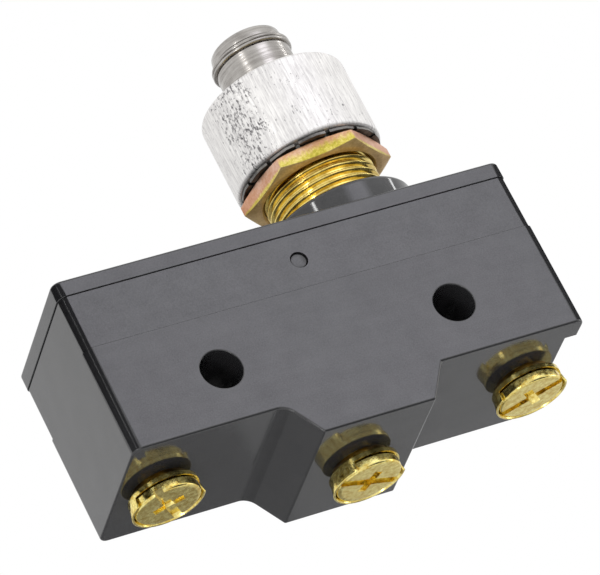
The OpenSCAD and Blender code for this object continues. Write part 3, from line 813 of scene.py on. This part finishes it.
def terminal_screw(node, turn):
    """A binding-head screw with a slot and a cross recess."""
    x, face, top = centre(node).x, low(node).z, high(node).z
    under, root = face + HEAD_T, SHANK_R - SHANK_DEPTH
    edge, bevel, lead, flat_r = 0.26, 0.08, 0.1, HEAD_R - 0.6
    outline = ([(root, under + lead), (SHANK_R - lead, under), (HEAD_R - bevel, under),
                (HEAD_R, under - bevel)]
               + arc(HEAD_R - edge, face + edge, edge, 0, -80, 6)
               + [(flat_r, face), (0, face), (0, top), (root, top)])
    screw = lathe(node + "_turned", outline, (x, 0), 72, (under + lead, top, SHANK_R, SHANK_DEPTH))
    slot = taper("slot", (x, 0, face), turn, 2 * HEAD_R + 1, SLOT_W, SLOT_DEPTH, 0.02)
    wings = [taper("wing", (x, 0, face), turn + 90 * k, WING_L, WING_W, WING_DEPTH, 0.45) for k in (0, 1)]
    cut(screw, [slot] + wings)
    return stand_for(node, screw, 32)


def cup_washer(node, side, half):
    """A pressed cup whose flared wall is open to one side, for the wire."""
    x, top, bottom, rim = centre(node).x, high(node).z, low(node).z, span_r(node)
    bore, plate, wall, flare, soft, hem = SHANK_R + RUN, 0.5, 0.22, 0.2, 0.07, 0.08
    r, seat, tiny = rim - flare, top - plate, 0.03
    outline = ([(bore, seat), (bore, top)] + arc(r - soft, top - soft, soft, 90, 0, 3) + [(r, seat)]
               + arc(rim - hem, bottom + hem, hem, 0, -90, 3)
               + [(rim - wall + tiny, bottom), (rim - wall, bottom + tiny), (r - wall, seat)])
    cup = lathe(node + "_pressed", outline, (x, 0), 96)
    fan = [math.radians(side + half * share) for share in (-1, -0.5, 0, 0.5, 1)]
    z_low, z_high = bottom - 1, seat - 0.01
    points = [(x, 0, z_low), (x, 0, z_high)]
    for z in (z_low, z_high):
        points += [(x + 2 * rim * math.cos(a), 2 * rim * math.sin(a), z) for a in fan]
    lower, upper = [0, 2, 3, 4, 5, 6], [1, 7, 8, 9, 10, 11]
    sides = [[lower[k], lower[(k + 1) % 6], upper[(k + 1) % 6], upper[k]] for k in range(6)]
    cut(cup, [mesh_from("wire_side", points, [lower, upper] + sides)])

    def width(crease):
        at, bend, _, _ = edge_facts(crease)
        return 0.05 if bend > 55 and at.z < seat - 0.05 else 0.0

    bevel_edges(cup, width, 2)
    return stand_for(node, cup)


for name, (turn, side, half) in TERMINALS.items():
    terminal_screw(name + "_screw", turn)
    cup_washer(name + "_washer", side, half)


# ---------------------------------------------------------------- springs

def coil(node, mean_r, wire, turns):
    """A round-wire spring with closed ends."""
    z0, height = low(node).z, high(node).z - low(node).z
    sides, per_turn, closed = 12, 40, 1.0
    rise = 1.06 * wire
    points, faces = [], []
    for i in range(int(turns * per_turn) + 1):
        u = i / per_turn
        if u < closed:
            z = u * rise
        elif u > turns - closed:
            z = height - wire - (turns - u) * rise
        else:
            z = closed * rise + (u - closed) / (turns - 2 * closed) * (height - wire - 2 * closed * rise)
        for k in range(sides):
            b = TAU * k / sides
            r = mean_r + wire / 2 * math.cos(b)
            points.append((AXIS[0] + r * math.cos(TAU * u), AXIS[1] + r * math.sin(TAU * u),
                           z0 + z + wire / 2 * (1 + math.sin(b))))
    count = len(points) // sides
    for i in range(0, sides * (count - 1), sides):
        faces += [[i + k, i + (k + 1) % sides, i + sides + (k + 1) % sides, i + sides + k]
                  for k in range(sides)]
    faces += [list(range(sides)), list(range((count - 1) * sides, count * sides))]
    spring = stand_for(node, mesh_from(node + "_coil", points, faces), 60)
    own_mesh(spring)


coil("return_spring", mean_r=3.9, wire=0.7, turns=7)
coil("overtravel_spring", mean_r=2.2, wire=0.5, turns=8)

CAD_EDGE = 0.05
for node, obj in NODES.items():
    if node not in REBUILT:
        # The terminals take the dark brass: painted shade where they show above the cup washers.
        paint(obj, SHADED_TERMINAL_BRASS if node.endswith("_terminal") else FINISHES[SLOT_OF[node]])
        round_cad(node, CAD_EDGE)


# ---------------------------------------------------------------- stage, lights and camera (metres)

def plane(name, centre_at, normal, width, height):
    """A flat card that faces along normal."""
    turn = Vector(normal).normalized().to_track_quat("Z", "Y")
    signs = ((-1, -1), (1, -1), (1, 1), (-1, 1))
    corners = [Vector((x * width / 2, y * height / 2, 0)) for x, y in signs]
    return mesh_from(name, [(Vector(centre_at) + turn @ c) / MM for c in corners], [[0, 1, 2, 3]])


def matte(name, shade):
    """A pale or grey matt surface, very slightly mottled."""
    n = Nodes(name)
    tone = n.ramp(n.noise(0.003, 2), [(0.3, (shade * 0.98,) * 3), (0.7, (shade,) * 3)])
    return n.finish(tone, Roughness=0.9)


def toward(azimuth, elevation):
    """Unit vector from the object to a viewer at that azimuth and elevation."""
    a, e = math.radians(azimuth), math.radians(elevation)
    return Vector((math.sin(a) * math.cos(e), -math.cos(a) * math.cos(e), math.sin(e)))


def lamp(name, azimuth, elevation, distance, size, glow, colour=(1, 1, 1)):
    """A soft lamp. Its glow adds to its surroundings, with white as 1."""
    light = bpy.data.lights.new(name, "AREA")
    light.shape = "RECTANGLE"
    light.size, light.size_y = size
    light.energy = glow * math.pi * size[0] * size[1]
    light.color = colour
    obj = bpy.data.objects.new(name, light)
    bpy.context.scene.collection.objects.link(obj)
    way = toward(azimuth, elevation)
    obj.location = way * distance
    obj.rotation_mode = "QUATERNION"
    obj.rotation_quaternion = way.to_track_quat("Z", "Y")
    return obj


def card(name, start, azimuth, elevation, distance, size, shade, aside=0.0):
    """A grey card seen from start (mm) in that direction. The camera doesn't see it and the gloss does."""
    way = toward(azimuth, elevation)
    a = math.radians(azimuth)
    sideways = Vector((math.cos(a), math.sin(a), 0)) * aside
    obj = plane(name, Vector(start) * MM + way * distance + sideways, -way, *size)
    paint(obj, matte(name + "_grey", shade))
    obj.visible_camera = False
    obj.visible_shadow = False
    return obj


FLOOR_Z, FLOOR_SIZE = -1.2, 30
floor = plane("floor", (0, 0, FLOOR_Z), (0, 0, 1), FLOOR_SIZE, FLOOR_SIZE)
paint(floor, matte("pale_floor", 0.86))

world = bpy.data.worlds.new("studio")
bpy.context.scene.world = world
world.use_nodes = True
world.node_tree.nodes["Background"].inputs["Color"].default_value = (1, 1, 1, 1)
world.node_tree.nodes["Background"].inputs["Strength"].default_value = 1.0

# The key is three lamps on one line, a little apart in distance, so that each adds to the last
KEY_TINT, KEY_GLOW, KEY_AT, KEY_STEP = (0.98, 0.97, 1.1), 0.44, 1.3, 0.03
for k, width in enumerate((0.42, 0.6, 0.8)):
    lamp("key_front_%d" % k, 21.5, 25, KEY_AT + KEY_STEP * k, (width, width), KEY_GLOW, KEY_TINT)

# Smaller lamps: azimuth, elevation, distance, size and glow
LAMPS = {
    "spark_left": (-50, -35, 1.0, (0.10, 0.3), 12),
    "spark_left_high": (-45, 26, 1.0, (0.05, 0.24), 14),
    "spark_right": (84, 28, 1.0, (0.06, 0.12), 7),
    "fill_right": (78, -8, 1.0, (0.24, 0.34), 3.6),
}
for name, row in LAMPS.items():
    lamp(name, *row)

# Cards: where they are seen from in mm, azimuth, elevation, distance, size, shade and shift aside
CARDS = {
    "edge_below": ((0, -HALF_D, -4), 45, -53, 0.35, (0.28, 0.28), 0.02),
    "edge_left": ((-HALF_L, -HALF_D, 4), -64, 25, 0.009, (0.027, 0.025), 0.02),
    "edge_right": ((HALF_L, -HALF_D, 4), 88, 25, 0.016, (0.03, 0.022), 0.02),
    "slope_left": ((-8, 0, -7), -163, -15, 0.5, (0.62, 0.22), 0.36),
    "under_left": ((-15, 0, END_FACE), 153, -25, 0.15, (0.09, 0.12), 0.28, 0.045),
    "under_fillet": ((-MID_ROOT, 0, END_FACE), -171, -35, 0.12, (0.07, 0.06), 0.26),
    "under_right": ((10, 0, END_FACE), 153, -25, 0.18, (0.2, 0.2), 0.66),
}
for name, row in CARDS.items():
    card(name, *row)

bpy.context.scene.view_settings.view_transform = "Standard"

CAMERA_AT = Vector((-0.19384, -0.39499, -0.19443))
CAMERA_WAY = Vector((0.40447, 0.81168, 0.42139))
CAMERA_ROLL = -27.57
CAMERA_LENS, CAMERA_SENSOR = 296.6, 36
camera = bpy.data.cameras.new("camera")
camera.sensor_width = CAMERA_SENSOR
camera.lens = CAMERA_LENS
camera.clip_start, camera.clip_end = 0.01, 50
view = bpy.data.objects.new("camera", camera)
bpy.context.scene.collection.objects.link(view)
view.rotation_mode = "QUATERNION"
view.location = CAMERA_AT
level = CAMERA_WAY.to_track_quat("-Z", "Y")
view.rotation_quaternion = level @ Matrix.Rotation(math.radians(CAMERA_ROLL), 4, "Z").to_quaternion()
bpy.context.scene.camera = view
